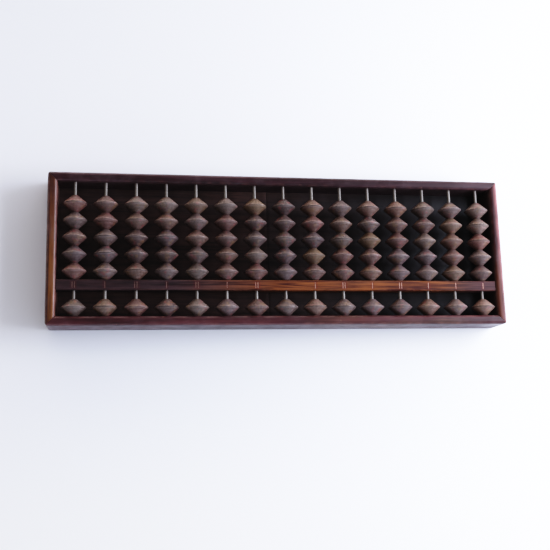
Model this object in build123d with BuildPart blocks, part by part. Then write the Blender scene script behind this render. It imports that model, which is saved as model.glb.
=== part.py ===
from build123d import *
import os

# Fifteen-rod table abacus (Japanese-style, one upper bead and five lower
# beads on every rod) in a mitred frame with a two-piece back board.
#
# Axes: X along the length (columns 1..15 from -X to +X, left is -X),
# Y across the frame (near is -Y; the one-bead deck is on the near side, the
# five-bead deck on the far side), Z up.  Origin: centre of the underside.
#
# Rest arrangement: all five lower beads of a column are pushed against the
# divider beam, the single upper bead lies against the near rail.

os.makedirs("parts", exist_ok=True)

# ------------------------------------------------------------- dimensions
FIT = 0.05                # clearance of glued joints, per face
CUT_OVER = 1.0            # how far cutting tools overshoot a face

# Frame
LENGTH = 350.0            # overall, X
DEPTH = 115.0             # overall, Y
FRAME_H = 27.0            # rail height, Z
RAIL_W = 7.2              # rail width
CORNER_R = 1.3            # outer vertical corners
TOP_OUT_R = CORNER_R - 0.05     # outer top edge, just under the corner radius
TOP_IN_R = 2.0            # inner top edge
FOOT_CHAMFER = 0.6        # lower outer edge
OUT_X = LENGTH / 2        # outer face of the side rails
OUT_Y = DEPTH / 2         # outer face of the long rails
IN_X = OUT_X - RAIL_W     # inner face of the side rails
IN_Y = OUT_Y - RAIL_W     # inner face of the long rails

# Mitres
MITRE_GAP = 0.01          # glue line, each side of the joint plane
MITRE_SHIFT = MITRE_GAP * 2 ** 0.5      # the same gap measured along a rail
WEDGE_OVER = 5.0          # overshoot of the mitre outlines past the rail faces

# Stub tenons hidden inside the mitres (on the side rails, into the long rails)
TENON_T = 2.2             # across the side rail
TENON_Z0, TENON_Z1 = 9.6, 17.6
TENON_SHOW = 1.5          # wood left between tenon tip and outer face
TENON_ROOT = 0.4          # start of the tenon, inward of the long rail's inner face

# Back board, held in a groove on the inner faces of the rails
BOARD_Z0, BOARD_Z1 = 3.6, 7.0
BOARD_IN = 3.0            # how far the board enters the groove
GROOVE_D = 3.2            # groove depth in the rails
GROOVE_CLEAR = 0.06       # above and below the board
GROOVE_OVER = 0.5         # overshoot of the groove cut into the opening
SEAM_X = -9.4             # butt seam of the two boards
SEAM_GAP = 0.15
SEAM_CHAMFER = 0.3

# Rods
N_COL = 15
PITCH = 22.35
COL_SHIFT = 1.3           # the rod row sits slightly off centre
ROD_Z = 22.0
ROD_D = 2.4
ROD_HOLE_D = 2.46
ROD_BLIND = 4.6           # depth of the blind holes in the long rails
ROD_END_GAP = 0.1
ROD_L = 2 * (IN_Y + ROD_BLIND - ROD_END_GAP)

# Divider beam
BEAM_Y0, BEAM_Y1 = -31.3, -23.4
BEAM_Z0, BEAM_Z1 = 15.5, 25.5
BEAM_W = BEAM_Y1 - BEAM_Y0
BEAM_Y = (BEAM_Y0 + BEAM_Y1) / 2
BEAM_END_X = IN_X - FIT   # shoulder of the beam's end tenons
BEAM_EDGE_R = 0.5         # long edges
BEAM_TENON_L = 3.0
BEAM_TENON_W = 4.0        # Y
BEAM_TENON_Z0, BEAM_TENON_Z1 = 16.6, 20.6
BEAM_TENON_H = BEAM_TENON_Z1 - BEAM_TENON_Z0
BEAM_TENON_Z = (BEAM_TENON_Z0 + BEAM_TENON_Z1) / 2
MORTISE_OVER = 0.5        # overshoot of the beam mortise into the opening

# Ticks in the top of the beam, one or two at a column
TICK_W, TICK_L, TICK_DEEP = 0.55, 4.6, 0.25
TICK_PAIR = 1.7           # spacing of a double tick
DOUBLE_TICKS = (1, 3, 5, 7, 10, 12)
NO_TICK = (8,)

# Beads
BEAD_R = 9.2              # rim radius
BEAD_T = 12.66            # thickness along the rod
BEAD_END_R = 2.8          # radius of the flat end
BEAD_RIM = 0.44           # width of the rim land
BEAD_BULGE = 0.06         # how much the two cones are crowned
BEAD_BORE_R = 1.7
BEAD_BORE_CH = 0.4        # countersink at the bore mouths
BEAD_GAP = 0.04           # air between stacked beads
WALL_GAP = 0.05           # air between a resting bead and rail or beam
N_LOWER = 5
BEAD_STEP = BEAD_T + BEAD_GAP
UPPER_Y = -IN_Y + WALL_GAP + BEAD_T / 2         # upper bead at rest
LOWER_Y = BEAM_Y1 + WALL_GAP + BEAD_T / 2       # lower bead next to the beam
# Size of the inner group of lower beads, next to the beam, repeating along the
# row; the split changes so that different columns can open at different places.
INNER_COUNTS = (4, 3, 2, 1)


def col_x(column):
    return COL_SHIFT + (column - (N_COL + 1) / 2) * PITCH


COLS = range(1, N_COL + 1)
ROD_SPOTS = [(col_x(c), ROD_Z) for c in COLS]   # (x, z)


def save(part, name):
    part.label = name
    export_step(part, f"parts/{name}.step")


# ------------------------------------------------------------------ rails
def make_ring():
    """Whole frame; cutting all rails from it makes their edges meet on the mitres."""
    with BuildPart() as ring:
        with BuildSketch(Plane.XY):
            RectangleRounded(LENGTH, DEPTH, CORNER_R)
            Rectangle(2 * IN_X, 2 * IN_Y, mode=Mode.SUBTRACT)
        extrude(amount=FRAME_H)
        top_face = ring.faces().sort_by(Axis.Z)[-1]
        fillet(top_face.outer_wire().edges(), TOP_OUT_R)
        top_face = ring.faces().sort_by(Axis.Z)[-1]
        fillet(top_face.inner_wires()[0].edges(), TOP_IN_R)
        bottom_face = ring.faces().sort_by(Axis.Z)[0]
        chamfer(bottom_face.outer_wire().edges(), FOOT_CHAMFER)
        # groove for the back board, on all four inner faces
        with BuildSketch(Plane.XY.offset(BOARD_Z0 - GROOVE_CLEAR)):
            Rectangle(2 * (IN_X + GROOVE_D), 2 * (IN_Y + GROOVE_D))
            Rectangle(2 * (IN_X - GROOVE_OVER), 2 * (IN_Y - GROOVE_OVER), mode=Mode.SUBTRACT)
        extrude(amount=BOARD_Z1 - BOARD_Z0 + 2 * GROOVE_CLEAR, mode=Mode.SUBTRACT)
    return ring.part


def tenon_box(side_x, side_y, grow):
    """Centre and size of the tenon in the corner with signs (side_x, side_y)."""
    y_root = IN_Y - TENON_ROOT
    y_tip = OUT_Y - TENON_SHOW + grow
    centre = (side_x * (OUT_X - RAIL_W / 2),
              side_y * (y_root + y_tip) / 2,
              (TENON_Z0 + TENON_Z1) / 2)
    size = (TENON_T + 2 * grow, y_tip - y_root, TENON_Z1 - TENON_Z0 + 2 * grow)
    return centre, size


# Ends of the mitre outlines, past the outer and inner faces of the rails
WEDGE_OUT_X, WEDGE_OUT_Y = OUT_X + WEDGE_OVER, OUT_Y + WEDGE_OVER
WEDGE_IN_X, WEDGE_IN_Y = IN_X - WEDGE_OVER, IN_Y - WEDGE_OVER


def make_long_rail(ring, side):
    """Rail along X at side * Y, with tenon mortises and blind rod holes."""
    outline = [(-WEDGE_OUT_X + MITRE_SHIFT, side * WEDGE_OUT_Y),
               (WEDGE_OUT_X - MITRE_SHIFT, side * WEDGE_OUT_Y),
               (WEDGE_IN_X - MITRE_SHIFT, side * WEDGE_IN_Y),
               (-WEDGE_IN_X + MITRE_SHIFT, side * WEDGE_IN_Y)]
    with BuildPart() as rail:
        add(ring)
        with BuildSketch(Plane.XY.offset(-CUT_OVER)):
            Polygon(*outline, align=None)
        extrude(amount=FRAME_H + 2 * CUT_OVER, mode=Mode.INTERSECT)
        for end in (-1, 1):
            centre, size = tenon_box(end, side, FIT)
            with Locations(centre):
                Box(*size, mode=Mode.SUBTRACT)
        # Plane.XZ faces -Y, hence the minus signs
        with BuildSketch(Plane.XZ.offset(-side * IN_Y)):
            with Locations(*ROD_SPOTS):
                Circle(ROD_HOLE_D / 2)
        extrude(amount=-side * ROD_BLIND, mode=Mode.SUBTRACT)
    return rail.part


def make_side_rail(ring, side):
    """Rail along Y at side * X, with corner tenons and the beam mortise."""
    outline = [(side * WEDGE_OUT_X, -WEDGE_OUT_Y + MITRE_SHIFT),
               (side * WEDGE_OUT_X, WEDGE_OUT_Y - MITRE_SHIFT),
               (side * WEDGE_IN_X, WEDGE_IN_Y - MITRE_SHIFT),
               (side * WEDGE_IN_X, -WEDGE_IN_Y + MITRE_SHIFT)]
    mortise_x = IN_X + (BEAM_TENON_L + FIT - MORTISE_OVER) / 2
    with BuildPart() as rail:
        add(ring)
        with BuildSketch(Plane.XY.offset(-CUT_OVER)):
            Polygon(*outline, align=None)
        extrude(amount=FRAME_H + 2 * CUT_OVER, mode=Mode.INTERSECT)
        for end in (-1, 1):
            centre, size = tenon_box(side, end, 0.0)
            with Locations(centre):
                Box(*size)
        with Locations((side * mortise_x, BEAM_Y, BEAM_TENON_Z)):
            Box(BEAM_TENON_L + FIT + MORTISE_OVER, BEAM_TENON_W + 2 * FIT,
                BEAM_TENON_H + 2 * FIT, mode=Mode.SUBTRACT)
    return rail.part


# ----------------------------------------------------------- divider beam
def tick_spots():
    """(x, y) of every tick: the single ones, then the pairs."""
    single = [(col_x(c), BEAM_Y) for c in COLS if c not in DOUBLE_TICKS + NO_TICK]
    double = [(col_x(c) + shift, BEAM_Y)
              for c in DOUBLE_TICKS for shift in (-TICK_PAIR / 2, TICK_PAIR / 2)]
    return single + double


def make_beam():
    with BuildPart() as beam:
        with BuildSketch(Plane.YZ.offset(-BEAM_END_X)):
            with Locations((BEAM_Y, (BEAM_Z0 + BEAM_Z1) / 2)):
                Rectangle(BEAM_W, BEAM_Z1 - BEAM_Z0)
        extrude(amount=2 * BEAM_END_X)
        fillet(beam.edges().filter_by(Axis.X), BEAM_EDGE_R)
        for end in (-1, 1):
            with Locations((end * (BEAM_END_X + BEAM_TENON_L / 2), BEAM_Y, BEAM_TENON_Z)):
                Box(BEAM_TENON_L, BEAM_TENON_W, BEAM_TENON_H)
        # bores for the rods, cut from the far side towards -Y
        with BuildSketch(Plane.XZ.offset(-BEAM_Y1 - CUT_OVER)):
            with Locations(*ROD_SPOTS):
                Circle(ROD_HOLE_D / 2)
        extrude(amount=BEAM_W + 2 * CUT_OVER, mode=Mode.SUBTRACT)
        with BuildSketch(Plane.XY.offset(BEAM_Z1 - TICK_DEEP)):
            with Locations(*tick_spots()):
                Rectangle(TICK_W, TICK_L)
        extrude(amount=TICK_DEEP + CUT_OVER, mode=Mode.SUBTRACT)
    return beam.part


# ------------------------------------------------------------- back board
def make_board(x_start, x_end, seam_index):
    """Board from x_start to x_end; seam_index picks the seam face, sorted by X."""
    with BuildPart() as board:
        with BuildSketch(Plane.XY.offset(BOARD_Z0)):
            with Locations(((x_start + x_end) / 2, 0)):
                Rectangle(x_end - x_start, 2 * (IN_Y + BOARD_IN))
        extrude(amount=BOARD_Z1 - BOARD_Z0)
        seam_face = board.faces().sort_by(Axis.X)[seam_index]
        chamfer(seam_face.edges().filter_by(Axis.Y), SEAM_CHAMFER)
    return board.part


# ------------------------------------------------------------------- rods
def make_rods():
    with BuildPart() as rods:
        with BuildSketch(Plane.XZ.offset(-ROD_L / 2)):
            with Locations(*ROD_SPOTS):
                Circle(ROD_D / 2)
        extrude(amount=ROD_L)
    return rods.part


# ------------------------------------------------------------------ beads
def make_bead():
    """Turned double cone with a thin rim land, crowned flanks, flat ends and
    a countersunk bore; its axis is Y."""
    half_t = BEAD_T / 2
    half_rim = BEAD_RIM / 2
    bore_y = half_t - BEAD_BORE_CH
    mouth_r = BEAD_BORE_R + BEAD_BORE_CH
    # middle of the flank, moved out by the bulge along the flank's normal
    flank_r = BEAD_R - BEAD_END_R
    flank_y = half_t - half_rim
    flank_len = (flank_r ** 2 + flank_y ** 2) ** 0.5
    crown_r = (BEAD_END_R + BEAD_R) / 2 + flank_y / flank_len * BEAD_BULGE
    crown_y = (half_t + half_rim) / 2 + flank_r / flank_len * BEAD_BULGE
    with BuildPart() as bead:
        with BuildSketch(Plane.XY):
            with BuildLine():
                Polyline((BEAD_BORE_R, -bore_y), (BEAD_BORE_R, bore_y),
                         (mouth_r, half_t), (BEAD_END_R, half_t))
                ThreePointArc((BEAD_END_R, half_t), (crown_r, crown_y), (BEAD_R, half_rim))
                Line((BEAD_R, half_rim), (BEAD_R, -half_rim))
                ThreePointArc((BEAD_R, -half_rim), (crown_r, -crown_y), (BEAD_END_R, -half_t))
                Polyline((BEAD_END_R, -half_t), (mouth_r, -half_t), (BEAD_BORE_R, -bore_y))
            make_face()
        revolve(axis=Axis.Y)
    return bead.part


def make_bead_group(bead, spots):
    with BuildPart() as group:
        with Locations(*spots):
            add(bead)
    return group.part


# ------------------------------------------------------------------ files
frame_ring = make_ring()
save(make_long_rail(frame_ring, -1), "near_rail")
save(make_long_rail(frame_ring, 1), "far_rail")
save(make_side_rail(frame_ring, -1), "left_rail")
save(make_side_rail(frame_ring, 1), "right_rail")
save(make_beam(), "divider_beam")
save(make_board(-(IN_X + BOARD_IN), SEAM_X - SEAM_GAP / 2, -1), "back_board_left")
save(make_board(SEAM_X + SEAM_GAP / 2, IN_X + BOARD_IN, 0), "back_board_right")
save(make_rods(), "rods")

one_bead = make_bead()
for c in COLS:
    lower = [(col_x(c), LOWER_Y + k * BEAD_STEP, ROD_Z) for k in range(N_LOWER)]
    n_inner = INNER_COUNTS[(c - 1) % len(INNER_COUNTS)]
    save(make_bead_group(one_bead, [(col_x(c), UPPER_Y, ROD_Z)]), f"upper_bead_{c:02d}")
    save(make_bead_group(one_bead, lower[:n_inner]), f"inner_beads_{c:02d}")
    save(make_bead_group(one_bead, lower[n_inner:]), f"outer_beads_{c:02d}")
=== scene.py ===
"""Bead abacus of old dark wood, lying flat on a pale table.

X runs along the length (left rail at -X), Y across the depth (near rail at -Y) and the rods lie
along Y. The underside is at z = 0. Meshes are worked out in millimetres and stored in metres.
"""
import itertools
import math

import bpy
import bmesh
import numpy as np
from mathutils import Matrix, Vector


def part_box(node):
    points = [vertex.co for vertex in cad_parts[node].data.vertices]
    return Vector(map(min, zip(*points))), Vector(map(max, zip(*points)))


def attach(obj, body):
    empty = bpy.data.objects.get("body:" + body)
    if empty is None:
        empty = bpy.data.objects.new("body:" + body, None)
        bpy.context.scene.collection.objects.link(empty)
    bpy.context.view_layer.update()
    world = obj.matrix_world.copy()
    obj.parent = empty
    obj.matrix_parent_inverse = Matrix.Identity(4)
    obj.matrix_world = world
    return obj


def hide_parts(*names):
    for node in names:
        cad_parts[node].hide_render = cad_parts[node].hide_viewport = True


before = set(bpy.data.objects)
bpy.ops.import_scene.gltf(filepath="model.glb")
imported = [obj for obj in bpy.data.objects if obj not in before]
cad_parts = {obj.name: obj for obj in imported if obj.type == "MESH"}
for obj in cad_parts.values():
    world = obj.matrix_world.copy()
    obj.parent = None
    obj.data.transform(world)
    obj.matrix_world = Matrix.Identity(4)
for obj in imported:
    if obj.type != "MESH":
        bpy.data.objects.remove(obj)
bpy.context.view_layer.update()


MM = 0.001
X, Y, Z = range(3)


# ------------------------------------------------------------ sizes from the CAD
def box_mm(node):
    low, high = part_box(node)
    return np.array(low) * 1000.0, np.array(high) * 1000.0


def centre_x(node):
    low, high = box_mm(node)
    return (low[X] + high[X]) / 2


NEAR_LO, NEAR_HI = box_mm("near_rail")
BEAM_LO, BEAM_HI = box_mm("divider_beam")
BOARD_LO, BOARD_HI = box_mm("back_board_left")
ROD_LO, ROD_HI = box_mm("rods")
UPPER_LO, UPPER_HI = box_mm("upper_bead_01")

COLUMNS = 15
HALF_LENGTH = box_mm("right_rail")[1][X]
HALF_DEPTH = box_mm("far_rail")[1][Y]
RAIL_HEIGHT = NEAR_HI[Z]
RAIL_WIDTH = NEAR_HI[Y] - NEAR_LO[Y]
BEAM_MID_Y = (BEAM_LO[Y] + BEAM_HI[Y]) / 2
ROD_Z = (ROD_LO[Z] + ROD_HI[Z]) / 2
ROD_RADIUS = (ROD_HI[Z] - ROD_LO[Z]) / 2
COLUMN_X = [centre_x("upper_bead_%02d" % column) for column in range(1, COLUMNS + 1)]
BEAD_RADIUS = (UPPER_HI[X] - UPPER_LO[X]) / 2
BEAD_LENGTH = UPPER_HI[Y] - UPPER_LO[Y]


# ------------------------------------------------------------------- noise
def lattice_hash(cell, seed):
    """Fixed pseudo-random number in 0..1 for each whole-number cell (n, 3)."""
    mask = 0x7FFFFFFF
    mixed = (cell[:, 0] * 73856093) ^ (cell[:, 1] * 19349663) ^ (cell[:, 2] * 83492791)
    mixed = (mixed ^ (seed * 265443576 + 977)) & mask
    mixed = ((mixed ^ (mixed >> 13)) * 1274126177) & mask
    mixed = ((mixed ^ (mixed >> 15)) * 668265263) & mask
    return ((mixed ^ (mixed >> 16)) & 0xFFFF) / 65535.0


def value_noise(points, seed):
    """Smooth noise in -1..1 at points (n, 3)."""
    cell = np.floor(points).astype(np.int64)
    part = points - cell
    part = part * part * (3 - 2 * part)
    total = np.zeros(len(points))
    for corner in itertools.product((0, 1), repeat=3):
        weight = np.prod(np.where(corner, part, 1 - part), axis=1)
        total += weight * lattice_hash(cell + corner, seed)
    return total * 2 - 1


def fractal(points, scale, seed, octaves=3):
    """Layers of value noise, each finer and half as strong as the one before."""
    points = np.asarray(points, float) / scale
    total, strength, norm = np.zeros(len(points)), 1.0, 0.0
    for octave in range(octaves):
        shifted = points * (2.03 ** octave) + 17.3 * octave
        total += strength * value_noise(shifted, seed + octave * 31)
        norm += strength
        strength *= 0.5
    return total / norm


# -------------------------------------------------------------- mesh making
# values per vertex: attribute type and the property that holds them
ATTRIBUTE_KINDS = {1: ("FLOAT", "value"), 3: ("FLOAT_VECTOR", "vector"),
                   4: ("FLOAT_COLOR", "color")}


def make_piece(name, verts_mm, faces, material, body, node, attrs, sharp_deg):
    """Smooth-shaded object that rides on body and stands in for the CAD node."""
    mesh = bpy.data.meshes.new(name)
    mesh.from_pydata((np.asarray(verts_mm, float) * MM).tolist(), [], faces)
    mesh.validate()
    edit = bmesh.new()
    edit.from_mesh(mesh)
    bmesh.ops.recalc_face_normals(edit, faces=edit.faces)
    edit.to_mesh(mesh)
    edit.free()
    mesh.update()
    for key, values in attrs.items():
        values = np.asarray(values, np.float32)
        kind, field = ATTRIBUTE_KINDS[values.size // len(verts_mm)]
        mesh.attributes.new(key, kind, "POINT").data.foreach_set(field, values.ravel())
    mesh.materials.append(material)
    mesh.polygons.foreach_set("use_smooth", [True] * len(mesh.polygons))
    mesh.set_sharp_from_angle(angle=math.radians(sharp_deg))
    piece = bpy.data.objects.new(name, mesh)
    bpy.context.scene.collection.objects.link(piece)
    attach(piece, body)
    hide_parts(node)


def sweep_faces(stations, around, base=0, ring=False):
    """Faces over stations of a closed profile; a ring joins up, otherwise the ends are capped."""
    faces = []
    for s in range(stations if ring else stations - 1):
        row, after = base + s * around, base + (s + 1) % stations * around
        for k in range(around):
            k2 = (k + 1) % around
            faces.append((row + k, row + k2, after + k2, after + k))
    if not ring:
        last = base + (stations - 1) * around
        faces.append(tuple(base + k for k in range(around - 1, -1, -1)))
        faces.append(tuple(last + k for k in range(around)))
    return faces


def inward_normals(profile):
    """Inward normals of a closed profile (n, 2)."""
    following = np.roll(profile, -1, 0)
    tangent = following - np.roll(profile, 1, 0)
    tangent /= np.maximum(np.linalg.norm(tangent, axis=1), 1e-9)[:, None]
    area = 0.5 * np.sum(profile[:, 0] * following[:, 1] - following[:, 0] * profile[:, 1])
    normals = np.stack([-tangent[:, 1], tangent[:, 0]], 1)
    return normals if area > 0 else -normals


def worn_quarter(across, z, radius, start, wear):
    """Quarter circle from start degrees, with one point (across, z, wear) per wear value."""
    angles = np.radians(np.linspace(start, start + 90, len(wear)))
    return [(across + radius * math.cos(t), z + radius * math.sin(t), amount)
            for t, amount in zip(angles, wear)]


# --------------------------------------------------------------- node helpers
def srgb(*channels):
    """Linear RGBA from 0..255 sRGB values."""
    def linear(value):
        value /= 255.0
        return value / 12.92 if value <= 0.04045 else ((value + 0.055) / 1.055) ** 2.4
    return tuple(linear(value) for value in channels) + (1.0,)


def as_colour(value):
    """Turns an sRGB tuple into a colour and leaves a socket as it is."""
    return srgb(*value) if isinstance(value, tuple) else value


class Nodes:
    """A node tree whose inputs take either a value or another node's output."""

    def __init__(self, tree):
        self.tree = tree

    def put(self, value, socket):
        if isinstance(value, bpy.types.NodeSocket):
            self.tree.links.new(value, socket)
        else:
            socket.default_value = value

    def node(self, kind, inputs=None, **props):
        made = self.tree.nodes.new("ShaderNode" + kind)
        for key, value in props.items():
            setattr(made, key, value)
        for key, value in (inputs or {}).items():
            self.put(value, made.inputs[key])
        return made


class Material(Nodes):
    """A Principled material, with a method for each kind of step."""

    def __init__(self, name):
        self.material = bpy.data.materials.new(name)
        self.material.use_nodes = True
        super().__init__(self.material.node_tree)
        self.tree.nodes.clear()
        out = self.node("OutputMaterial")
        self.bsdf = self.node("BsdfPrincipled")
        self.put(self.bsdf.outputs[0], out.inputs["Surface"])

    def coords(self):
        return self.node("TexCoord").outputs["Object"]

    def attr(self, name, out="Fac"):
        return self.node("Attribute", attribute_name=name).outputs[out]

    def mapping(self, vec, scale=(1, 1, 1), shift=(0, 0, 0), turn=(0, 0, 0)):
        return self.node("Mapping", {"Vector": vec, "Scale": scale, "Location": shift,
                                     "Rotation": turn}).outputs[0]

    def noise(self, vec, scale, detail=4.0, rough=0.55, distortion=0.0, stretch=None, shift=None):
        if stretch or shift:
            vec = self.mapping(vec, scale=stretch or (1, 1, 1), shift=shift or (0, 0, 0))
        return self.node("TexNoise", {"Vector": vec, "Scale": scale, "Detail": detail,
                                      "Roughness": rough, "Distortion": distortion}).outputs["Fac"]

    def math(self, operation, first, second):
        return self.node("Math", {0: first, 1: second, 2: 0.0}, operation=operation).outputs[0]

    def times(self, first, second):
        return self.math("MULTIPLY", first, second)

    def plus(self, first, second):
        return self.math("ADD", first, second)

    def ramp(self, fac, span, to=(0.0, 1.0)):
        """Eases fac from span into to, clamped."""
        inputs = {"Value": fac, "From Min": span[0], "From Max": span[1],
                  "To Min": to[0], "To Max": to[1]}
        return self.node("MapRange", inputs, interpolation_type="SMOOTHSTEP").outputs["Result"]

    def mix(self, fac, base, over):
        inputs = {0: fac, 6: as_colour(base), 7: as_colour(over)}
        return self.node("Mix", inputs, data_type="RGBA").outputs[2]

    def scale_colour(self, colour, fac):
        return self.node("VectorMath", {0: colour, "Scale": fac}, operation="SCALE").outputs[0]

    def axis(self, vec, index):
        return self.node("SeparateXYZ", {0: vec}).outputs[index]

    def bump(self, height, strength, distance, normal=None):
        inputs = {"Height": height, "Strength": strength, "Distance": distance}
        if normal is not None:
            inputs["Normal"] = normal
        return self.node("Bump", inputs).outputs[0]

    def finish(self, colour, rough, normal=None, coat=0.0, coat_rough=0.15, spec=0.5):
        inputs = {"Base Color": colour, "Roughness": rough, "Specular IOR Level": spec,
                  "Coat Weight": coat, "Coat Roughness": coat_rough}
        if normal is not None:
            inputs["Normal"] = normal
        for key, value in inputs.items():
            self.put(value, self.bsdf.inputs[key])
        return self.material


# --------------------------------------------------------------- materials
def grain_scale(axis, along, across):
    scale = [across] * 3
    scale[axis] = along
    return tuple(scale)


def rail_wood(name, axis, dark, mid, warm, warm_rise, warm_fall, warm_amount, coat, spec,
              warm_across_shade=(-1.0, -0.5), rubbed=0.36, inner=(60, 46, 46), inner_amount=0.6,
              inner_from=0.94, outer_highlight_amount=0.0, wall_tint_and_reflection=(63, 65, 71)):
    """Handled dark hardwood, grain along axis. The warm colour comes in over warm_rise and
    goes out over warm_fall (metres along the grain). Attribute u is 0 outside, 1 inside."""
    net = Material(name)
    pos = net.coords()
    streak = net.noise(pos, stretch=grain_scale(axis, along=6.0, across=90.0), scale=1.6,
                       detail=5.0, rough=0.6, distortion=0.7)
    bands = net.noise(pos, stretch=grain_scale(axis, along=14, across=60), scale=1.0, detail=3.0)
    pores = net.noise(pos, stretch=grain_scale(axis, along=18.0, across=900.0), scale=1.0,
                      detail=2.0, rough=0.5)
    colour = net.mix(net.ramp(streak, span=(0.30, 0.68)), dark, mid)
    # warm, worn patches
    along = net.axis(pos, axis)
    zone = net.times(net.ramp(along, span=warm_rise), net.ramp(along, span=warm_fall, to=(1.0, 0.0)))
    patch = net.ramp(bands, span=(0.34, 0.62))
    warmth = net.times(net.times(zone, patch), warm_amount)
    # on the left rail the warm colour is kept off the outer slope of the top: a painted shade where
    # that slope faces away from the light
    warmth = net.times(warmth, net.ramp(net.attr("u"), span=warm_across_shade))
    colour = net.mix(warmth, colour, warm)
    # inner and outer faces; on the left rail the pale inner colour is a painted highlight on the
    # rounded inner shoulder that faces the light
    inside = net.ramp(net.attr("u"), span=(inner_from, inner_from + 0.05), to=(0.0, inner_amount))
    colour = net.mix(inside, colour, inner)
    # outer faces: a painted reflection of the pale table, grey-blue on the near and far rails, a
    # darker tint on the side rails
    outside = net.ramp(net.attr("u"), span=(0.07, 0.0), to=(0.0, 0.28))
    colour = net.mix(outside, colour, wall_tint_and_reflection)
    if outer_highlight_amount:
        # painted highlight on the outer part of the top, the rounded shoulder that faces the light,
        # stronger towards the far end
        worn = net.ramp(net.noise(pos, scale=60.0, detail=3.0), span=(0.30, 0.65), to=(0.5, 1.0))
        worn = net.times(worn, net.ramp(net.axis(pos, Z), span=(0.0225, 0.0256)))
        worn = net.times(worn, net.ramp(net.axis(pos, Y), span=(-0.05, 0.03), to=(0.5, 1.0)))
        worn = net.times(worn, net.ramp(net.attr("u"), span=(0.66, 0.22), to=(0.0, outer_highlight_amount)))
        colour = net.mix(worn, colour, (152, 92, 90))
    colour = net.mix(net.ramp(pores, span=(0.30, 0.47), to=(0.55, 0.0)), colour, (24, 11, 12))
    # rubbed edges
    edge = net.attr("edge")
    rub = net.ramp(net.noise(pos, scale=160.0, detail=3.0), span=(0.42, 0.70), to=(0.0, rubbed))
    colour = net.mix(net.times(edge, rub), colour, (120, 78, 70))
    dust = net.noise(pos, scale=48.0, detail=6.0, rough=0.7)
    colour = net.mix(net.ramp(dust, span=(0.45, 0.78), to=(0.0, 0.10)), colour, (150, 128, 132))
    # small pale knocks
    nick = net.ramp(net.attr("nick"), span=(0.35, 0.95), to=(0.0, 0.55))
    colour = net.mix(nick, colour, (138, 100, 88))
    rough = net.ramp(net.noise(pos, scale=70.0, detail=5.0, rough=0.65), span=(0.30, 0.75),
                     to=(0.32, 0.52))
    height = net.plus(net.times(streak, 0.6), net.times(pores, 0.5))
    normal = net.bump(height, strength=0.28, distance=0.00012)
    normal = net.bump(net.noise(pos, scale=420.0, detail=3.0), strength=0.10, distance=0.0001,
                      normal=normal)
    return net.finish(colour, rough, normal, coat=coat, coat_rough=0.30, spec=spec)


def beam_wood():
    """Streaked wood, warmer in the middle, with paint left in the cut ticks."""
    net = Material("beam_wood")
    pos = net.coords()
    streak = net.noise(pos, stretch=(8.0, 150.0, 150.0), scale=1.9, detail=6.0, rough=0.66,
                       distortion=1.0)
    bands = net.noise(pos, stretch=(16, 70, 70), scale=1.0, detail=3.0)
    pores = net.noise(pos, stretch=(22.0, 1000.0, 1000.0), scale=1.0, detail=2.0)
    dark = net.mix(net.ramp(streak, span=(0.32, 0.66)), (30, 23, 24), (62, 46, 47))
    warm = net.mix(net.ramp(streak, span=(0.36, 0.62)), (56, 24, 20), (116, 68, 38))
    along = net.axis(pos, X)
    zone = net.times(net.ramp(along, span=(-0.088, 0.012)),
                     net.ramp(along, span=(0.118, 0.165), to=(1.0, 0.0)))
    banded = net.ramp(bands, span=(0.35, 0.6), to=(0.0, 0.3))
    zone = net.plus(net.times(zone, 0.72), net.times(zone, banded))
    colour = net.mix(zone, dark, warm)
    pink = net.ramp(along, span=(0.125, 0.165))
    colour = net.mix(net.times(pink, 0.5), colour, (82, 49, 49))
    colour = net.mix(net.ramp(pores, span=(0.30, 0.46), to=(0.55, 0.0)), colour, (28, 13, 12))
    # rubbed edges
    edge = net.attr("edge")
    rub = net.ramp(net.noise(pos, scale=170.0, detail=3.0), span=(0.40, 0.66), to=(0.0, 0.40))
    rub = net.times(edge, rub)
    rub = net.times(rub, net.ramp(along, span=(-0.10, 0.0), to=(0.35, 1.0)))
    colour = net.mix(rub, colour, (118, 78, 60))
    # broken, dirty cream paint in the ticks, with a red halo round each
    tick = net.attr("tick")
    worn = net.ramp(net.noise(pos, scale=900.0, detail=3.0), span=(0.32, 0.50))
    fade = net.ramp(along, span=(-0.10, 0.0), to=(0.38, 1.0))
    cover = net.plus(net.times(worn, 0.5), net.ramp(along, span=(0.0, 0.12), to=(0.20, 0.45)))
    paint = net.times(tick, cover)
    colour = net.mix(net.times(net.attr("halo"), fade), colour, (98, 32, 36))
    colour = net.mix(net.times(paint, fade), colour, (188, 156, 138))
    rough = net.ramp(net.noise(pos, scale=80.0, detail=5.0, rough=0.65), span=(0.30, 0.75),
                     to=(0.40, 0.58))
    height = net.plus(net.times(streak, 0.6), net.times(pores, 0.5))
    return net.finish(colour, rough, net.bump(height, strength=0.28, distance=0.00012), spec=0.12)


def add_scratches(net, pos, colour, turn, stretch, shift, line_span, patch_scale, patch_shift,
                  patch_span, amount, pale):
    """Pale scratches turned about Z, showing only in patches."""
    turned = net.mapping(pos, turn=(0, 0, turn))
    lines = net.noise(turned, stretch=stretch, shift=shift, scale=1.0, detail=1.0, rough=0.4)
    patch = net.noise(pos, shift=patch_shift, scale=patch_scale, detail=2.0)
    patch = net.ramp(patch, span=patch_span)
    fac = net.times(net.ramp(lines, span=line_span), net.times(patch, amount))
    return net.mix(fac, colour, pale)


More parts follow.
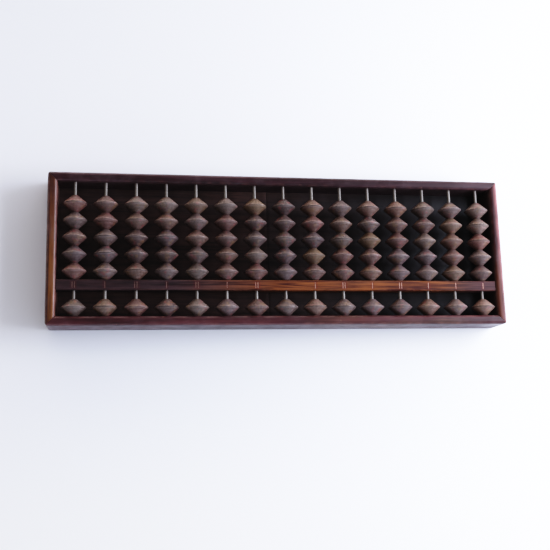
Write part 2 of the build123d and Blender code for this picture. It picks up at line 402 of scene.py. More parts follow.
def board_wood():
    """Dull scratched boards, bare underneath. Attribute side is 0 left, 1 right."""
    net = Material("board_wood")
    pos = net.coords()
    side = net.attr("side")
    streak = net.noise(pos, stretch=(5.0, 60.0, 60.0), scale=1.5, detail=6.0, rough=0.62,
                       distortion=1.1)
    bands = net.noise(pos, stretch=(3.0, 22.0, 22.0), shift=(0.3, 0.1, 0), scale=1.0, detail=3.0)
    pores = net.noise(pos, stretch=(26.0, 900.0, 900.0), scale=1.0, detail=2.0)

    def streaked(dark, light):
        return net.mix(net.ramp(streak, span=(0.30, 0.70)), dark, light)

    left = streaked((38, 25, 22), (78, 55, 49))
    right = streaked((28, 19, 18), (62, 46, 42))
    # painted shade: the right board darkens further between x 0.02 and 0.13
    right = net.mix(net.ramp(net.axis(pos, X), span=(0.02, 0.13)), right,
                    streaked((16, 9, 10), (38, 24, 25)))
    colour = net.mix(side, left, right)
    colour = net.mix(net.ramp(bands, span=(0.40, 0.70), to=(0.0, 0.30)), colour, (56, 35, 29))
    colour = net.mix(net.ramp(pores, span=(0.30, 0.45), to=(0.6, 0.0)), colour, (10, 7, 7))
    colour = add_scratches(net, pos, colour, turn=0.62, stretch=(14.0, 520.0, 1.0), shift=None,
                           line_span=(0.69, 0.73), patch_scale=90.0, patch_shift=None,
                           patch_span=(0.60, 0.70), amount=0.32, pale=(120, 98, 88))
    colour = add_scratches(net, pos, colour, turn=-0.95, stretch=(18.0, 640.0, 1.0),
                           shift=(3, 7, 0), line_span=(0.70, 0.74), patch_scale=100.0,
                           patch_shift=(5, 2, 0), patch_span=(0.61, 0.70), amount=0.30,
                           pale=(116, 98, 90))
    dust = net.noise(pos, scale=60.0, detail=6.0, rough=0.7)
    colour = net.mix(net.ramp(dust, span=(0.42, 0.80), to=(0.0, 0.06)), colour, (120, 108, 106))
    # painted shade: darker towards the right
    colour = net.scale_colour(colour, net.ramp(net.axis(pos, X), span=(0.0, 0.09), to=(1.0, 0.38)))
    # the underside is bare, less stained wood
    under = net.ramp(net.axis(pos, Z), span=(0.0040, 0.0036))
    bare = streaked((86, 62, 46), (132, 100, 74))
    bare = net.mix(net.ramp(pores, span=(0.30, 0.46), to=(0.5, 0.0)), bare, (50, 34, 26))
    colour = net.mix(under, colour, bare)
    rough = net.ramp(net.noise(pos, scale=60.0, detail=5.0), span=(0.30, 0.75), to=(0.42, 0.68))
    height = net.plus(net.times(streak, 0.5), net.times(pores, 0.6))
    return net.finish(colour, rough, net.bump(height, strength=0.35, distance=0.00016), spec=0.25)


def bamboo():
    """Greyed bamboo with fibres along Y."""
    net = Material("bamboo_rod")
    pos = net.coords()
    fibre = net.noise(pos, stretch=(1500.0, 14.0, 1500.0), scale=1.0, detail=3.0, rough=0.6)
    broad = net.noise(pos, stretch=(120.0, 30.0, 120.0), scale=1.0, detail=3.0)
    colour = net.mix(net.ramp(fibre, span=(0.30, 0.66)), (100, 93, 86), (117, 110, 102))
    colour = net.mix(net.ramp(broad, span=(0.40, 0.65), to=(0.0, 0.25)), colour, (104, 98, 92))
    grime = net.ramp(net.noise(pos, scale=70.0, detail=2.0), span=(0.50, 0.74), to=(0.0, 0.20))
    colour = net.mix(grime, colour, (84, 70, 60))
    rough = net.ramp(broad, span=(0.3, 0.7), to=(0.42, 0.52))
    return net.finish(colour, rough, net.bump(fibre, strength=0.08, distance=0.00004), spec=0.4)


def bead_wood():
    """Turned wood. Attributes: lco is the place in the bead in mm, turned per bead; tone its
    colour; rim the distance from the rim in mm; groove the ring cuts; soot the rim's dirt."""
    net = Material("bead_wood")
    place = net.attr("lco", "Vector")
    tone = net.attr("tone", "Color")
    rim = net.attr("rim")
    groove = net.attr("groove")
    soot = net.attr("soot")
    grain = net.noise(place, stretch=(0.10, 1.5, 1.5), scale=1.0, detail=4.0, rough=0.6,
                      distortion=0.6)
    fine = net.noise(place, stretch=(0.55, 7.0, 7.0), scale=1.0, detail=3.0, rough=0.6)
    mottle = net.noise(place, scale=0.24, detail=3.0, rough=0.6)
    colour = net.scale_colour(tone, net.ramp(grain, span=(0.28, 0.72), to=(0.58, 1.22)))
    colour = net.mix(net.ramp(fine, span=(0.30, 0.47), to=(0.45, 0.0)), colour, (34, 22, 20))
    # reddish and olive patches
    colour = net.mix(net.ramp(mottle, span=(0.56, 0.68), to=(0.0, 0.46)), colour, (112, 52, 52))
    olive = net.noise(place, shift=(31.0, 7.0, 19.0), scale=0.20, detail=2.0)
    colour = net.mix(net.ramp(olive, span=(0.54, 0.68), to=(0.0, 0.40)), colour, (98, 74, 44))
    # painted shade towards the ends, in the necks where the beads meet; rubbed and greyer towards
    # the rim
    colour = net.mix(net.ramp(rim, span=(4.4, 7.8), to=(0.0, 0.22)), colour, (44, 22, 20))
    pale = net.times(net.ramp(rim, span=(0.2, 3.0), to=(1.0, 0.0)),
                     net.ramp(mottle, span=(0.30, 0.62), to=(0.0, 0.12)))
    colour = net.mix(pale, colour, (150, 138, 132))
    # dust lying on the upper faces
    upward = net.axis(net.node("NewGeometry").outputs["Normal"], Z)
    dust = net.times(net.ramp(upward, span=(0.15, 0.9)),
                     net.ramp(net.noise(place, scale=0.8, detail=5.0, rough=0.7),
                              span=(0.34, 0.72), to=(0.0, 0.12)))
    colour = net.mix(dust, colour, (132, 120, 118))
    # dirt along the rim and in the turned rings
    line = net.times(net.ramp(rim, span=(0.30, 0.75), to=(1.0, 0.0)), soot)
    colour = net.mix(line, colour, (30, 16, 16))
    colour = net.mix(net.times(groove, 0.55), colour, (28, 16, 15))
    rough = net.ramp(net.noise(place, scale=0.55, detail=4.0, rough=0.65), span=(0.3, 0.75),
                     to=(0.46, 0.64))
    # faint turning marks that follow the distance from the rim
    rim_vector = net.node("CombineXYZ", {0: rim}).outputs[0]
    rings = net.node("TexWave", {"Vector": rim_vector, "Scale": 0.95, "Distortion": 0.0},
                     wave_type="BANDS", bands_direction="X", wave_profile="SIN").outputs["Fac"]
    height = net.plus(net.times(rings, 0.28), net.times(fine, 0.8))
    return net.finish(colour, rough, net.bump(height, strength=0.30, distance=0.00012), spec=0.38)


RAIL_WOODS = {
    "near": rail_wood(
        "frame_wood_near", axis=X, dark=(43, 18, 21), mid=(73, 38, 40), warm=(106, 75, 58),
        warm_rise=(0.00, 0.09), warm_fall=(0.115, 0.16), warm_amount=0.55, spec=0.24, coat=0.05,
        rubbed=0.24),
    "far": rail_wood(
        "frame_wood_far", axis=X, dark=(32, 13, 16), mid=(57, 33, 38), warm=(84, 52, 48),
        warm_rise=(-0.20, -0.16), warm_fall=(-0.16, -0.10), warm_amount=0.30, spec=0.24,
        coat=0.04, rubbed=0.14),
    # left rail: the warm colour stays off the outer slope, a painted shade, and the pale inner
    # colour is a painted highlight
    "left": rail_wood(
        "frame_wood_left", axis=Y, dark=(42, 18, 16), mid=(62, 31, 26), warm=(104, 65, 34),
        warm_rise=(-0.10, -0.08), warm_fall=(0.048, 0.056), warm_amount=0.95,
        warm_across_shade=(0.20, 0.42), spec=0.26, coat=0.05, inner=(94, 65, 60), inner_amount=0.80,
        inner_from=0.80, wall_tint_and_reflection=(44, 28, 26)),
    # right rail: the pinkish outer strip of the top is a painted highlight
    "right": rail_wood(
        "frame_wood_right", axis=Y, dark=(30, 13, 15), mid=(56, 29, 30), warm=(92, 54, 38),
        warm_rise=(-0.08, -0.055), warm_fall=(-0.03, 0.01), warm_amount=0.5, spec=0.14,
        coat=0.0, outer_highlight_amount=0.62, rubbed=0.16, wall_tint_and_reflection=(26, 14, 14)),
}
BEAM_WOOD = beam_wood()
BOARD_WOOD = board_wood()
BAMBOO = bamboo()
BEAD_WOOD = bead_wood()

# -------------------------------------------------------------------- rails
TOP_ROUND = 2.3               # radius of both long top edges
CROWN = 0.16                  # rise of the top along its middle
FOOT = 0.6                    # eased outer bottom edge
GROOVE_LOW = BOARD_LO[Z] - 0.06
GROOVE_HIGH = BOARD_HI[Z] + 0.06
GROOVE_DEPTH = 3.2
CORNER_RADIUS = 3.2           # outer vertical corners of the frame
JOINT_GAP = 0.035             # drawn back at each mitred end
END_RUN = 10.0                # closely spaced stations at each end
END_INSETS = (0.0, 0.14, 0.32, 0.7, 1.3, 2.1, 3.1, 4.3, 5.6, 7.0, 8.5, END_RUN)
RAIL_STEP = 1.6


def rail_profile():
    """Rail section as rows (across, z, edge wear); across is 0 on the outer face."""
    width, top = RAIL_WIDTH, RAIL_HEIGHT - CROWN
    points = [
        (FOOT * 0.3, FOOT * 0.3, 0.2), (FOOT, 0.0, 0.2), (2.4, 0.0, 0), (4.6, 0.0, 0),
        (width - 0.35, 0.0, 0.2), (width - 0.08, 0.08, 0.2), (width, 0.35, 0.1), (width, 1.8, 0),
        (width, GROOVE_LOW - 0.05, 0), (width, GROOVE_LOW, 0),
        (width - GROOVE_DEPTH, GROOVE_LOW, 0), (width - GROOVE_DEPTH, GROOVE_HIGH, 0),
        (width, GROOVE_HIGH, 0), (width, GROOVE_HIGH + 0.05, 0)]
    points += [(width, z, 0)
               for z in np.linspace(GROOVE_HIGH + 1.6, RAIL_HEIGHT - TOP_ROUND - 0.6, 8)]
    points += worn_quarter(width - TOP_ROUND, top - TOP_ROUND, TOP_ROUND, start=0,
                           wear=(0.1, 0.4, 0.8, 1, 1, 0.9, 0.6, 0.3, 0.1))
    points += [(across, top, 0)
               for across in np.linspace(width - TOP_ROUND - 0.45, TOP_ROUND + 0.45, 5)]
    points += worn_quarter(TOP_ROUND, top - TOP_ROUND, TOP_ROUND, start=90,
                           wear=(0.1, 0.3, 0.6, 0.9, 1, 1, 0.8, 0.4, 0.1))
    points += [(0.0, z, 0) for z in np.linspace(RAIL_HEIGHT - TOP_ROUND - 1.2, FOOT + 1.2, 9)]
    points.append((0.0, FOOT, 0.1))
    points = np.array(points, float)
    crowned = points[:, 1] > RAIL_HEIGHT - 3.4
    rise = 1 - ((points[:, 0] - width / 2) / (width / 2)) ** 2
    points[crowned, 1] += CROWN * np.clip(rise[crowned], 0, 1)
    return points


RAIL_PROFILE = rail_profile()
RAIL_ACROSS, RAIL_Z, RAIL_EDGE = RAIL_PROFILE.T
RAIL_NORMALS = inward_normals(RAIL_PROFILE[:, :2])
IN_GROOVE = (RAIL_Z > GROOVE_LOW - 0.2) & (RAIL_Z < GROOVE_HIGH + 0.2) & (RAIL_ACROSS > 1.0)


def rail_points(side, along, across, z):
    sign = -1 if side in ("near", "left") else 1
    if side in ("near", "far"):
        return np.stack([along, sign * (HALF_DEPTH - across), z], 1)
    return np.stack([sign * (HALF_LENGTH - across), along, z], 1)


def random_dents(rng, count, reach):
    """Dents as (along, across, z, radius, depth), mostly on the long top edges."""
    dents = []
    for _ in range(count):
        which = rng.random()
        along = rng.uniform(-reach, reach)
        if which < 0.45:
            across, z = 0.5, RAIL_HEIGHT - 0.6
        elif which < 0.7:
            across, z = RAIL_WIDTH - 0.6, RAIL_HEIGHT - 0.6
        elif which < 0.86:
            across, z = 0.0, rng.uniform(4, 24)
        else:
            across, z = rng.uniform(2, 5), RAIL_HEIGHT
        dents.append((along, across, z, rng.uniform(0.5, 1.3), rng.uniform(0.10, 0.30)))
    return dents


def round_corners(points):
    """Pulls points at the outer corners of the frame in to the corner radius."""
    core = np.array([HALF_LENGTH - CORNER_RADIUS, HALF_DEPTH - CORNER_RADIUS])
    beyond = np.abs(points[:, :2]) - core
    outside = (beyond > 0).all(axis=1)
    radius = np.sqrt((np.maximum(beyond, 0) ** 2).sum(axis=1))
    pull = np.where(outside & (radius > CORNER_RADIUS),
                    CORNER_RADIUS / np.maximum(radius, 1e-6), 1.0)
    rounded = np.sign(points[:, :2]) * (core + beyond * pull[:, None])
    points[:, :2] = np.where(outside[:, None], rounded, points[:, :2])


def build_rail(side, seed, dent_count):
    full = HALF_LENGTH if side in ("near", "far") else HALF_DEPTH
    dents = random_dents(np.random.default_rng(seed), dent_count, reach=full - 3)
    middle = int(round(2 * (full - RAIL_WIDTH - END_RUN) / RAIL_STEP)) + 1
    # stations as (share of the half length, inset from the end)
    stations = [(-1, inset) for inset in END_INSETS]
    stations += [(share, END_RUN) for share in np.linspace(-1, 1, middle)[1:-1]]
    stations += [(1, inset) for inset in END_INSETS[::-1]]
    rows, nicks = [], []
    for share, inset in stations:
        along = (full - RAIL_ACROSS - JOINT_GAP - inset) * share
        points = rail_points(side, along, RAIL_ACROSS, RAIL_Z)
        # uneven hand-planed surfaces, always inwards from the nominal size
        sink = 0.045 * (1 + fractal(points, scale=34.0, seed=seed))
        sink += 0.02 * (1 + fractal(points, scale=7.0, seed=seed + 5, octaves=2))
        broad = np.clip(0.2 + fractal(points, scale=13.0, seed=seed + 9), 0, 1)
        small = np.clip(fractal(points, scale=4.0, seed=seed + 13, octaves=2), 0, 1)
        sink += RAIL_EDGE * (0.10 * broad + 0.10 * small)
        nick = np.zeros(len(along))
        for dent_along, dent_across, dent_z, radius, depth in dents:
            distance = np.sqrt((along - dent_along) ** 2 + (RAIL_ACROSS - dent_across) ** 2
                               + (RAIL_Z - dent_z) ** 2)
            weight = np.exp(-(distance / radius) ** 2)
            sink += depth * weight
            nick = np.maximum(nick, weight * min(1.0, depth / 0.30))
        # eased joint ends
        sink += 0.13 * max(0.0, 1 - inset / 0.14) + 0.03 * max(0.0, 1 - inset / 0.5)
        sink = np.where(IN_GROOVE, 0.02, sink)
        points = rail_points(side, along, RAIL_ACROSS + RAIL_NORMALS[:, 0] * sink,
                             RAIL_Z + RAIL_NORMALS[:, 1] * sink)
        round_corners(points)
        rows.append(points)
        nicks.append(nick)
    count = len(stations)
    make_piece(side + "_rail_worn", np.concatenate(rows), sweep_faces(count, len(RAIL_Z)),
               RAIL_WOODS[side], "frame", side + "_rail",
               {"edge": np.tile(RAIL_EDGE, count), "nick": np.concatenate(nicks),
                "u": np.tile(RAIL_ACROSS / RAIL_WIDTH, count)}, sharp_deg=44)


build_rail("near", seed=11, dent_count=14)
build_rail("far", seed=23, dent_count=12)
build_rail("left", seed=37, dent_count=6)
build_rail("right", seed=51, dent_count=6)

# --------------------------------------------------------------------- beam
BEAM_ROUND = 0.75
BEAM_STEP = 1.9
BEAM_END = HALF_LENGTH - RAIL_WIDTH - 0.05
TICK_WIDTH, TICK_LENGTH, TICK_DEPTH = 0.55, 4.6, 0.2
TICK_PAIR = 1.7               # spacing of a double tick
DOUBLE_TICKS = (1, 3, 5, 7, 10, 12)
NO_TICK = (8,)
TICK_Y0, TICK_Y1 = BEAM_MID_Y - TICK_LENGTH / 2, BEAM_MID_Y + TICK_LENGTH / 2


def beam_profile():
    """Beam section as rows (y, z, edge wear)."""
    near, far, low, top = BEAM_LO[Y], BEAM_HI[Y], BEAM_LO[Z], BEAM_HI[Z]
    near_in, far_in = near + BEAM_ROUND, far - BEAM_ROUND
    low_in, top_in = low + BEAM_ROUND, top - BEAM_ROUND
    bottom_wear, top_wear = (0.1, 0.4, 0.4, 0.1), (0.2, 0.7, 1, 1, 0.7, 0.2)
    points = worn_quarter(far_in, low_in, BEAM_ROUND, start=-90, wear=bottom_wear)
    points += [(far, z, 0) for z in np.linspace(low + 2, top - 2, 5)]
    points += worn_quarter(far_in, top_in, BEAM_ROUND, start=0, wear=top_wear)
    points += [(y, top, 0) for y in (TICK_Y1 + 0.08, TICK_Y1 - 0.08, BEAM_MID_Y + 1.2, BEAM_MID_Y,
                                     BEAM_MID_Y - 1.2, TICK_Y0 + 0.08, TICK_Y0 - 0.08)]
    points += worn_quarter(near_in, top_in, BEAM_ROUND, start=90, wear=top_wear)
    points += [(near, z, 0) for z in np.linspace(top - 2, low + 2, 5)]
    points += worn_quarter(near_in, low_in, BEAM_ROUND, start=180, wear=bottom_wear)
    points.append((BEAM_MID_Y, low, 0))
    return np.array(points)


def tick_spans():
    """Start and end x of every tick."""
    spans = []
    for column, x in enumerate(COLUMN_X, start=1):
        if column in NO_TICK:
            continue
        for offset in (-TICK_PAIR / 2, TICK_PAIR / 2) if column in DOUBLE_TICKS else (0.0,):
            spans.append((x + offset - TICK_WIDTH / 2, x + offset + TICK_WIDTH / 2))
    return spans


def beam_stations(spans):
    """Even stations, replaced by close ones at both sides of each tick."""
    grid = np.round(np.arange(-BEAM_END, BEAM_END, BEAM_STEP), 3).tolist()
    grid.append(round(BEAM_END, 3))
    stations = {x for x in grid
                if all(x < start - 0.5 or x > end + 0.5 for start, end in spans)}
    for start, end in spans:
        stations |= {round(start + offset, 3) for offset in (-0.30, -0.06, 0.06)}
        stations |= {round(end + offset, 3) for offset in (-0.06, 0.06, 0.30)}
    return sorted(stations)


def build_beam():
    profile = beam_profile()
    y, z, edge = profile.T
    normals = inward_normals(profile[:, :2])
    spans = tick_spans()
    stations = beam_stations(spans)
    on_top = z > BEAM_HI[Z] - 0.01
    tick_row = (y > TICK_Y0) & (y < TICK_Y1) & on_top
    halo_row = (y > TICK_Y0 - 0.3) & (y < TICK_Y1 + 0.3) & on_top
    rows, ticks, halos = [], [], []
    for x in stations:
        along = np.full(len(y), x)
        points = np.stack([along, y, z], 1)
        sink = 0.03 * (1 + fractal(points, scale=28.0, seed=5))
        sink += edge * 0.12 * np.clip(0.3 + fractal(points, scale=9.0, seed=8), 0, 1)
        tick = tick_row & any(start < x < end for start, end in spans)
        halo = halo_row & any(start - 0.5 < x < end + 0.5 for start, end in spans)
        sink = np.where(tick, sink + TICK_DEPTH, sink)
        rows.append(np.stack([along, y + normals[:, 0] * sink, z + normals[:, 1] * sink], 1))
        ticks.append(tick.astype(float))
        halos.append(np.where(tick, 0, halo * 0.35))
    make_piece("divider_beam_worn", np.concatenate(rows), sweep_faces(len(stations), len(y)),
               BEAM_WOOD, "frame", "divider_beam",
               {"edge": np.tile(edge, len(stations)), "tick": np.concatenate(ticks),
                "halo": np.concatenate(halos)}, sharp_deg=40)


build_beam()

# ------------------------------------------------------------------- boards
BOARD_STEP = 1.3
BOARD_EASE = 1.3              # width of the thinned border


def board_faces(nx, ny):
    """Top and bottom grids, then the strips that close the four edges."""
    count = nx * ny
    faces = []
    for i in range(nx - 1):
        for j in range(ny - 1):
            quad = (i * ny + j, (i + 1) * ny + j, (i + 1) * ny + j + 1, i * ny + j + 1)
            faces.append(quad)
            faces.append(tuple(count + corner for corner in quad[::-1]))
    for i in range(nx - 1):
        here, after = i * ny, (i + 1) * ny
        faces.append((here, count + here, count + after, after))
        here, after = here + ny - 1, after + ny - 1
        faces.append((here, after, count + after, count + here))
    for j in range(ny - 1):
        here, after = j, j + 1
        faces.append((here, after, count + after, count + here))
        here, after = here + (nx - 1) * ny, after + (nx - 1) * ny
        faces.append((here, count + here, count + after, after))
    return faces


def build_board(node, seed, side):
    low, high = box_mm(node)
    nx = int((high[X] - low[X]) / BOARD_STEP) + 2
    ny = int((high[Y] - low[Y]) / BOARD_STEP) + 2
    x, y = np.meshgrid(np.linspace(low[X], high[X], nx), np.linspace(low[Y], high[Y], ny),
                       indexing="ij")
    x, y = x.ravel(), y.ravel()
    flat = np.stack([x, y, np.zeros(nx * ny)], 1)
    border = np.minimum(np.minimum(x - low[X], high[X] - x), np.minimum(y - low[Y], high[Y] - y))
    ease = np.clip(border / BOARD_EASE, 0, 1)
    # broad unevenness, ripples drawn out along X and the thinned border
    drawn = flat * np.array([0.25, 1.0, 1.0])
    top = high[Z] - 0.02 - 0.25 * (1 - ease)
    top -= 0.06 * (1 + fractal(flat, scale=46.0, seed=seed, octaves=2)) * ease
    top -= 0.035 * (1 + fractal(drawn, scale=3.2, seed=seed + 3, octaves=2))
    bottom = low[Z] + 0.02 + 0.2 * (1 - ease)
    bottom += 0.05 * (1 + fractal(flat, scale=40.0, seed=seed + 7, octaves=2)) * ease
    bottom += 0.04 * (1 + fractal(drawn, scale=3.0, seed=seed + 9, octaves=2))
    verts = np.concatenate([np.stack([x, y, top], 1), np.stack([x, y, bottom], 1)])
    make_piece(node + "_worn", verts, board_faces(nx, ny), BOARD_WOOD, "frame",
               node, {"side": np.full(len(verts), float(side))}, sharp_deg=40)


build_board("back_board_left", seed=301, side=0)
build_board("back_board_right", seed=353, side=1)

# --------------------------------------------------------------------- rods
ROD_SEGMENTS = 20
ROD_STATIONS = 56


def build_rods():
    """All rods in one mesh, each slightly oval and uneven."""
    rng = np.random.default_rng(909)
    half = (ROD_HI[Y] - ROD_LO[Y]) / 2
    angles = np.linspace(0, 2 * math.pi, ROD_SEGMENTS, endpoint=False)
    cos, sin = np.cos(angles), np.sin(angles)
    verts, faces = [], []
    for i, rod_x in enumerate(COLUMN_X):
        oval = rng.uniform(0.93, 0.99)
        turn = rng.uniform(0, math.pi)
        for y in np.linspace(-half, half, ROD_STATIONS):
            along = np.full(ROD_SEGMENTS, y)
            sample = np.stack([rod_x + 3 * i + cos, along, sin], 1)
            bumps = fractal(sample, scale=17.0, seed=600 + i, octaves=2)
            radius = ROD_RADIUS * (0.945 + 0.035 * bumps)
            wide, narrow = cos * radius, sin * radius * oval
            x = wide * math.cos(turn) - narrow * math.sin(turn)
            z = wide * math.sin(turn) + narrow * math.cos(turn)
            verts.append(np.stack([rod_x + x, along, ROD_Z + z], 1))
        faces += sweep_faces(ROD_STATIONS, ROD_SEGMENTS, base=i * ROD_STATIONS * ROD_SEGMENTS)
    make_piece("bamboo_rods", np.concatenate(verts), faces, BAMBOO, "frame", "rods",
               {}, sharp_deg=50)


build_rods()

# -------------------------------------------------------------------- beads
BEAD_HALF = BEAD_LENGTH / 2
BEAD_SEGMENTS = 56
END_RADIUS = 2.8              # flat end round the bore
BORE_RADIUS = 1.7
RING_HALF_WIDTH = 0.020       # of a turned ring, as a share of the flank
DEEP_RING = 0.09              # ring depth that counts as groove = 1

# browns of old turned wood: sRGB colour, weight
TONES = [((86, 65, 56), 1.3), ((80, 65, 61), 1.3), ((90, 70, 57), 1.0), ((84, 57, 51), 1.0),
         ((65, 47, 43), 0.8), ((88, 73, 66), 1.1), ((80, 58, 52), 1.1), ((89, 69, 51), 0.5),
         ((76, 61, 60), 1.1), ((85, 62, 52), 0.8)]
TONE_WEIGHTS = np.array([weight for _, weight in TONES])
TONE_WEIGHTS = TONE_WEIGHTS / TONE_WEIGHTS.sum()


def bead_profile(rng):
    """Rows (radius, y, rim distance, groove) from the middle of the bore, over the +Y end and
    down the flank to the rim."""
    points = [
        (BORE_RADIUS, 0.0, 9.0, 0.6), (BORE_RADIUS, BEAD_HALF - 0.5, 8.6, 0.6),
        (BORE_RADIUS + 0.18, BEAD_HALF - 0.16, 8.3, 0.5),
        (BORE_RADIUS + 0.45, BEAD_HALF - 0.03, 8.0, 0.2),
        (END_RADIUS - 0.40, BEAD_HALF - 0.02, 7.8, 0),
        (END_RADIUS - 0.24, BEAD_HALF - 0.04, 7.6, 0),
        (END_RADIUS - 0.10, BEAD_HALF - 0.12, 7.4, 0)]
    start = np.array([END_RADIUS + 0.05, BEAD_HALF - 0.30])
    end = np.array([BEAD_RADIUS - 0.13, 0.28])
    flank = end - start
    length = float(np.linalg.norm(flank))
    outward = np.array([-flank[1], flank[0]]) / length
    bulge = 0.02 + rng.uniform(-0.04, 0.05)
    ring1, ring2 = rng.uniform(0.26, 0.36), rng.uniform(0.66, 0.80)
    depth1, depth2 = rng.uniform(0.03, 0.09), rng.uniform(0.04, 0.10)
    # (share of the flank, ring depth)
    stations = [(0.0, 0), (0.10, 0),
                (ring1 - RING_HALF_WIDTH, 0), (ring1, depth1), (ring1 + RING_HALF_WIDTH, 0),
                (0.42, 0), (0.52, 0), (0.60, 0),
                (ring2 - RING_HALF_WIDTH, 0), (ring2, depth2), (ring2 + RING_HALF_WIDTH, 0),
                (0.90, 0), (1.0, 0)]
    for share, depth in stations:
        offset = bulge * 4 * share * (1 - share) - depth
        radius, y = start + flank * share + outward * offset
        points.append((radius, y, (1 - share) * length + 0.32, depth / DEEP_RING))
    points += [(BEAD_RADIUS - 0.04, 0.17, 0.19, 0), (BEAD_RADIUS - 0.005, 0.075, 0.08, 0),
               (BEAD_RADIUS, 0.0, 0.0, 0)]
    return np.array(points)


def random_rotation(rng):
    """Rotation matrix from a random unit quaternion."""
    quat = rng.normal(size=4)
    w, x, y, z = quat / np.linalg.norm(quat)
    return np.array([[1 - 2 * (y * y + z * z), 2 * (x * y - z * w), 2 * (x * z + y * w)],
                     [2 * (x * y + z * w), 1 - 2 * (x * x + z * z), 2 * (y * z - x * w)],
                     [2 * (x * z - y * w), 2 * (y * z + x * w), 1 - 2 * (x * x + y * y)]])


def painted_light_by_place(x, y):
    """Colour factor, a painted light: beads get paler towards the right, where the light is
    stronger, most of all beyond the beam.
    """
    right_end = float(np.clip((x - 118.0) / 38.0, 0, 1)) ** 2
    if y < BEAM_MID_Y:
        return 0.86 + 0.26 * float(np.clip((x + 150.0) / 290.0, 0, 1)) + 0.12 * right_end
    left_end = float(np.clip((-112.0 - x) / 22.0, 0, 1))
    rise = float(np.clip(x / 110.0, 0, 1))
    return 0.86 + 0.12 * left_end + 0.10 * rise + 0.46 * right_end


def bead_mesh(bead_x, bead_y, seed):
    """Vertices of one bead and its attributes."""
    rng = np.random.default_rng(seed)
    half = bead_profile(rng)
    mirrored = bead_profile(rng)[::-1][1:-1].copy()
    mirrored[:, 1] *= -1
    profile = np.concatenate([half, mirrored])
    angles = np.linspace(0, 2 * math.pi, BEAD_SEGMENTS, endpoint=False) + rng.uniform(0, math.pi)
    radius, y, rim, groove = (np.tile(column, (BEAD_SEGMENTS, 1)) for column in profile.T)
    # wavering rim
    near_rim = np.clip(1 - rim / 1.6, 0, 1)
    ring = np.stack([np.cos(angles) * 2.4, np.sin(angles) * 2.4,
                     np.full(BEAD_SEGMENTS, seed * 1.37 % 97)], 1)
    waver = fractal(ring, scale=1.0, seed=seed % 9973)[:, None]
    radius = radius - near_rim * (0.02 + 0.05 * (0.5 + 0.5 * waver)) - (rim < 6.9) * 0.01
    # chips out of the rim
    for _ in range(rng.integers(1, 5)):
        centre = rng.uniform(0, 2 * math.pi)
        width = rng.uniform(0.05, 0.16)
        depth = rng.uniform(0.08, 0.34)
        away = (angles - centre + math.pi) % (2 * math.pi) - math.pi
        chip = depth * np.exp(-(away / width) ** 2)[:, None]
        radius = radius - chip * np.clip(1 - rim / 0.9, 0, 1)
    x, z = radius * np.cos(angles)[:, None], radius * np.sin(angles)[:, None]
    local = np.stack([x.ravel(), y.ravel(), z.ravel()], 1)
    # the bead hangs a little low and sideways on its loose rod, just clear of its neighbours
    sideways, drop = rng.uniform(-0.12, 0.12), rng.uniform(0.05, 0.30)
    verts = local * (1, 0.996, 1) + (bead_x + sideways, bead_y, ROD_Z - drop)
    grain_place = local @ random_rotation(rng).T + rng.uniform(-400, 400, size=3)
    tone = np.array(srgb(*TONES[rng.choice(len(TONES), p=TONE_WEIGHTS)][0])[:3])
    # random tone, scaled by a painted light that makes beads paler towards the right
    tone = tone * rng.uniform(0.84, 1.16) * painted_light_by_place(bead_x, bead_y)
    soot = rng.choice([0.05, 0.15, 0.3, 0.5, 0.7])
    count = len(verts)
    return verts, {"rim": rim.ravel(), "groove": groove.ravel(), "lco": grain_place,
                   "tone": np.tile(np.append(tone, 1.0), (count, 1)),
                   "soot": np.full(count, soot)}


def build_group(node, body, name, seed):
    """Fills the CAD node's length with beads."""
    low, high = box_mm(node)
    length = high[Y] - low[Y]
    count = int(round(length / BEAD_LENGTH))
    pitch = (length - BEAD_LENGTH) / max(count - 1, 1)
    beads = [bead_mesh(centre_x(node), low[Y] + BEAD_LENGTH / 2 + k * pitch, seed + k * 7)
             for k in range(count)]
    size = len(beads[0][0])
    faces = []
    for k in range(count):
        faces += sweep_faces(BEAD_SEGMENTS, size // BEAD_SEGMENTS, base=k * size, ring=True)
    attrs = {key: np.concatenate([bead_attrs[key] for _, bead_attrs in beads])
             for key in beads[0][1]}
    make_piece(name, np.concatenate([verts for verts, _ in beads]), faces, BEAD_WOOD, body,
               node, attrs, sharp_deg=60)


# CAD node, moving body, first seed
BEAD_GROUPS = (("upper_bead", "upper", 4000), ("inner_beads", "inner", 8000),
               ("outer_beads", "outer", 12000))
for column in range(1, COLUMNS + 1):
    for node, body, first_seed in BEAD_GROUPS:
        build_group(f"{node}_{column:02d}", f"{body}_{column:02d}",
                    f"{node}_turned_{column:02d}", first_seed + column * 101)

# -------------------------------------------------------------------- stage
TABLE_HALF = 2.4


def build_table():
    """Pale table top, with painted light making it lighter towards the near side."""
    net = Material("table_top")
    pos = net.coords()
    colour = net.mix(net.ramp(net.noise(pos, scale=3.0, detail=2.0), span=(0.3, 0.7)),
                     (234, 236, 243), (237, 239, 246))
    # painted light: paler towards the near side
    colour = net.mix(net.ramp(net.axis(pos, Y), span=(-0.08, -0.22)), colour, (247, 248, 250))
    net.finish(colour, rough=0.55, spec=0.35)
    mesh = bpy.data.meshes.new("table_top")
    corners = [(x * TABLE_HALF, y * TABLE_HALF, 0) for x, y in ((-1, -1), (1, -1), (1, 1), (-1, 1))]
    mesh.from_pydata(corners, [], [(0, 1, 2, 3)])
    mesh.materials.append(net.material)
    table = bpy.data.objects.new("table_top", mesh)
    bpy.context.scene.collection.objects.link(table)


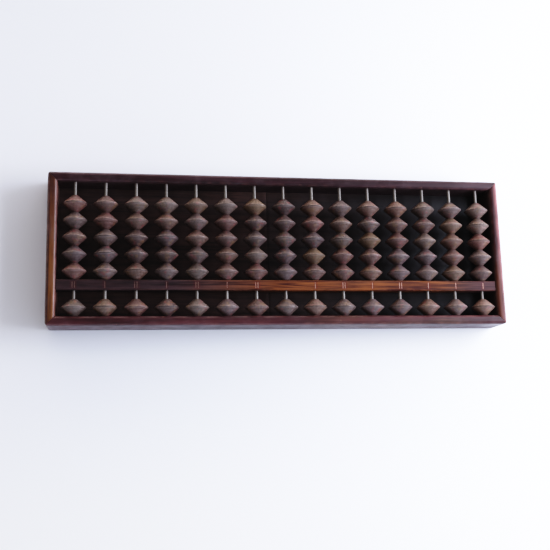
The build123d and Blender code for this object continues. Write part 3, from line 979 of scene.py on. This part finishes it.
def build_window():
    """Cool window light high on the right."""
    data = bpy.data.lights.new("window_right", "AREA")
    data.energy = 8.8
    data.color = (0.895, 0.955, 1.14)
    data.shape = "RECTANGLE"
    data.size = 0.50
    data.size_y = 0.34
    window = bpy.data.objects.new("window_right", data)
    window.location = (0.535, 0.042, 0.375)
    aim = Vector((0.0, 0.0, 0.01)) - Vector((0.535, 0.042, 0.375))
    window.rotation_euler = aim.to_track_quat("-Z", "Y").to_euler()
    bpy.context.scene.collection.objects.link(window)


WORLD_STRENGTH = 10.6
# brightness by height: (z of the direction, level); the first two are the curve's ends
SKY_CURVE = ((0.0, 1.0), (1.0, 0.036), (0.13, 0.63), (0.27, 0.33), (0.55, 0.09))


def build_world():
    """A pale room: bright low down, darker overhead, brighter to the right and far sides."""
    world = bpy.data.worlds.new("studio")
    world.use_nodes = True
    net = Nodes(world.node_tree)
    background = net.tree.nodes["Background"]
    direction = net.node("TexCoord").outputs["Generated"]
    x, y, z = net.node("SeparateXYZ", {0: direction}).outputs

    def brightness(value, low, high):
        return net.node("MapRange", {"Value": value, "From Min": -1.0, "From Max": 1.0,
                                     "To Min": low, "To Max": high}).outputs[0]

    height = net.node("FloatCurve", {"Value": z})
    curve = height.mapping.curves[0]
    curve.points[0].location = SKY_CURVE[0]
    curve.points[1].location = SKY_CURVE[1]
    for point in SKY_CURVE[2:]:
        curve.points.new(*point)
    height.mapping.update()
    sideways = brightness(x, low=0.34, high=1.38)
    level = net.node("Math", {0: height.outputs[0], 1: sideways}, operation="MULTIPLY").outputs[0]
    depth = brightness(y, low=0.58 * WORLD_STRENGTH, high=1.28 * WORLD_STRENGTH)
    level = net.node("Math", {0: level, 1: depth}, operation="MULTIPLY").outputs[0]
    # warm at the far left, cool at the near right
    diagonal = net.node("Math", {0: x, 1: y}, operation="SUBTRACT").outputs[0]
    cool = net.node("MapRange", {"Value": diagonal, "From Min": -0.9, "From Max": 0.6}).outputs[0]
    tint = net.node("Mix", {0: cool, 6: (1.05, 0.95, 0.90, 1.0), 7: (0.85, 0.92, 1.09, 1.0)},
                    data_type="RGBA").outputs[2]
    net.put(tint, background.inputs[0])
    net.put(level, background.inputs[1])
    bpy.context.scene.world = world


def build_camera():
    """Looks down from above the near left, its height taken from the top of the rails."""
    data = bpy.data.cameras.new("camera")
    data.sensor_width = 36.0
    data.sensor_fit = "HORIZONTAL"
    data.lens = 57.41718545
    data.clip_start = 0.01
    camera = bpy.data.objects.new("camera", data)
    right = Vector((0.985898, -0.027267, 0.165109))
    down = Vector((0.005231, -0.981132, -0.193267))
    forward = Vector((0.167263, 0.191405, -0.967154))
    turn = Matrix((right, -down, -forward)).transposed().to_4x4()
    place = Vector((-0.117615, -0.145915, 0.636828 + RAIL_HEIGHT * MM))
    camera.matrix_world = Matrix.Translation(place) @ turn
    bpy.context.scene.collection.objects.link(camera)
    bpy.context.scene.camera = camera


WHITE_LEVEL = 2.5
# (scene value, shown value)
TONE_CURVE = ((0.02, 0.0105), (0.05, 0.033), (0.10, 0.084), (0.20, 0.195), (0.40, 0.41),
              (0.70, 0.655), (1.0, 0.81), (1.5, 0.93))


def set_view():
    """Standard view with a soft shoulder and a slight toe."""
    view = bpy.context.scene.view_settings
    view.view_transform = "Standard"
    view.look = "None"
    view.exposure = 0.0
    view.use_curve_mapping = True
    mapping = view.curve_mapping
    mapping.white_level = (WHITE_LEVEL,) * 3
    mapping.clip_max_x = 1.0
    combined = mapping.curves[3]
    combined.points[0].location = (0.0, 0.0018)
    for scene_value, shown in TONE_CURVE:
        combined.points.new(scene_value / WHITE_LEVEL, shown)
    mapping.update()


build_table()
build_window()
build_world()
build_camera()
set_view()
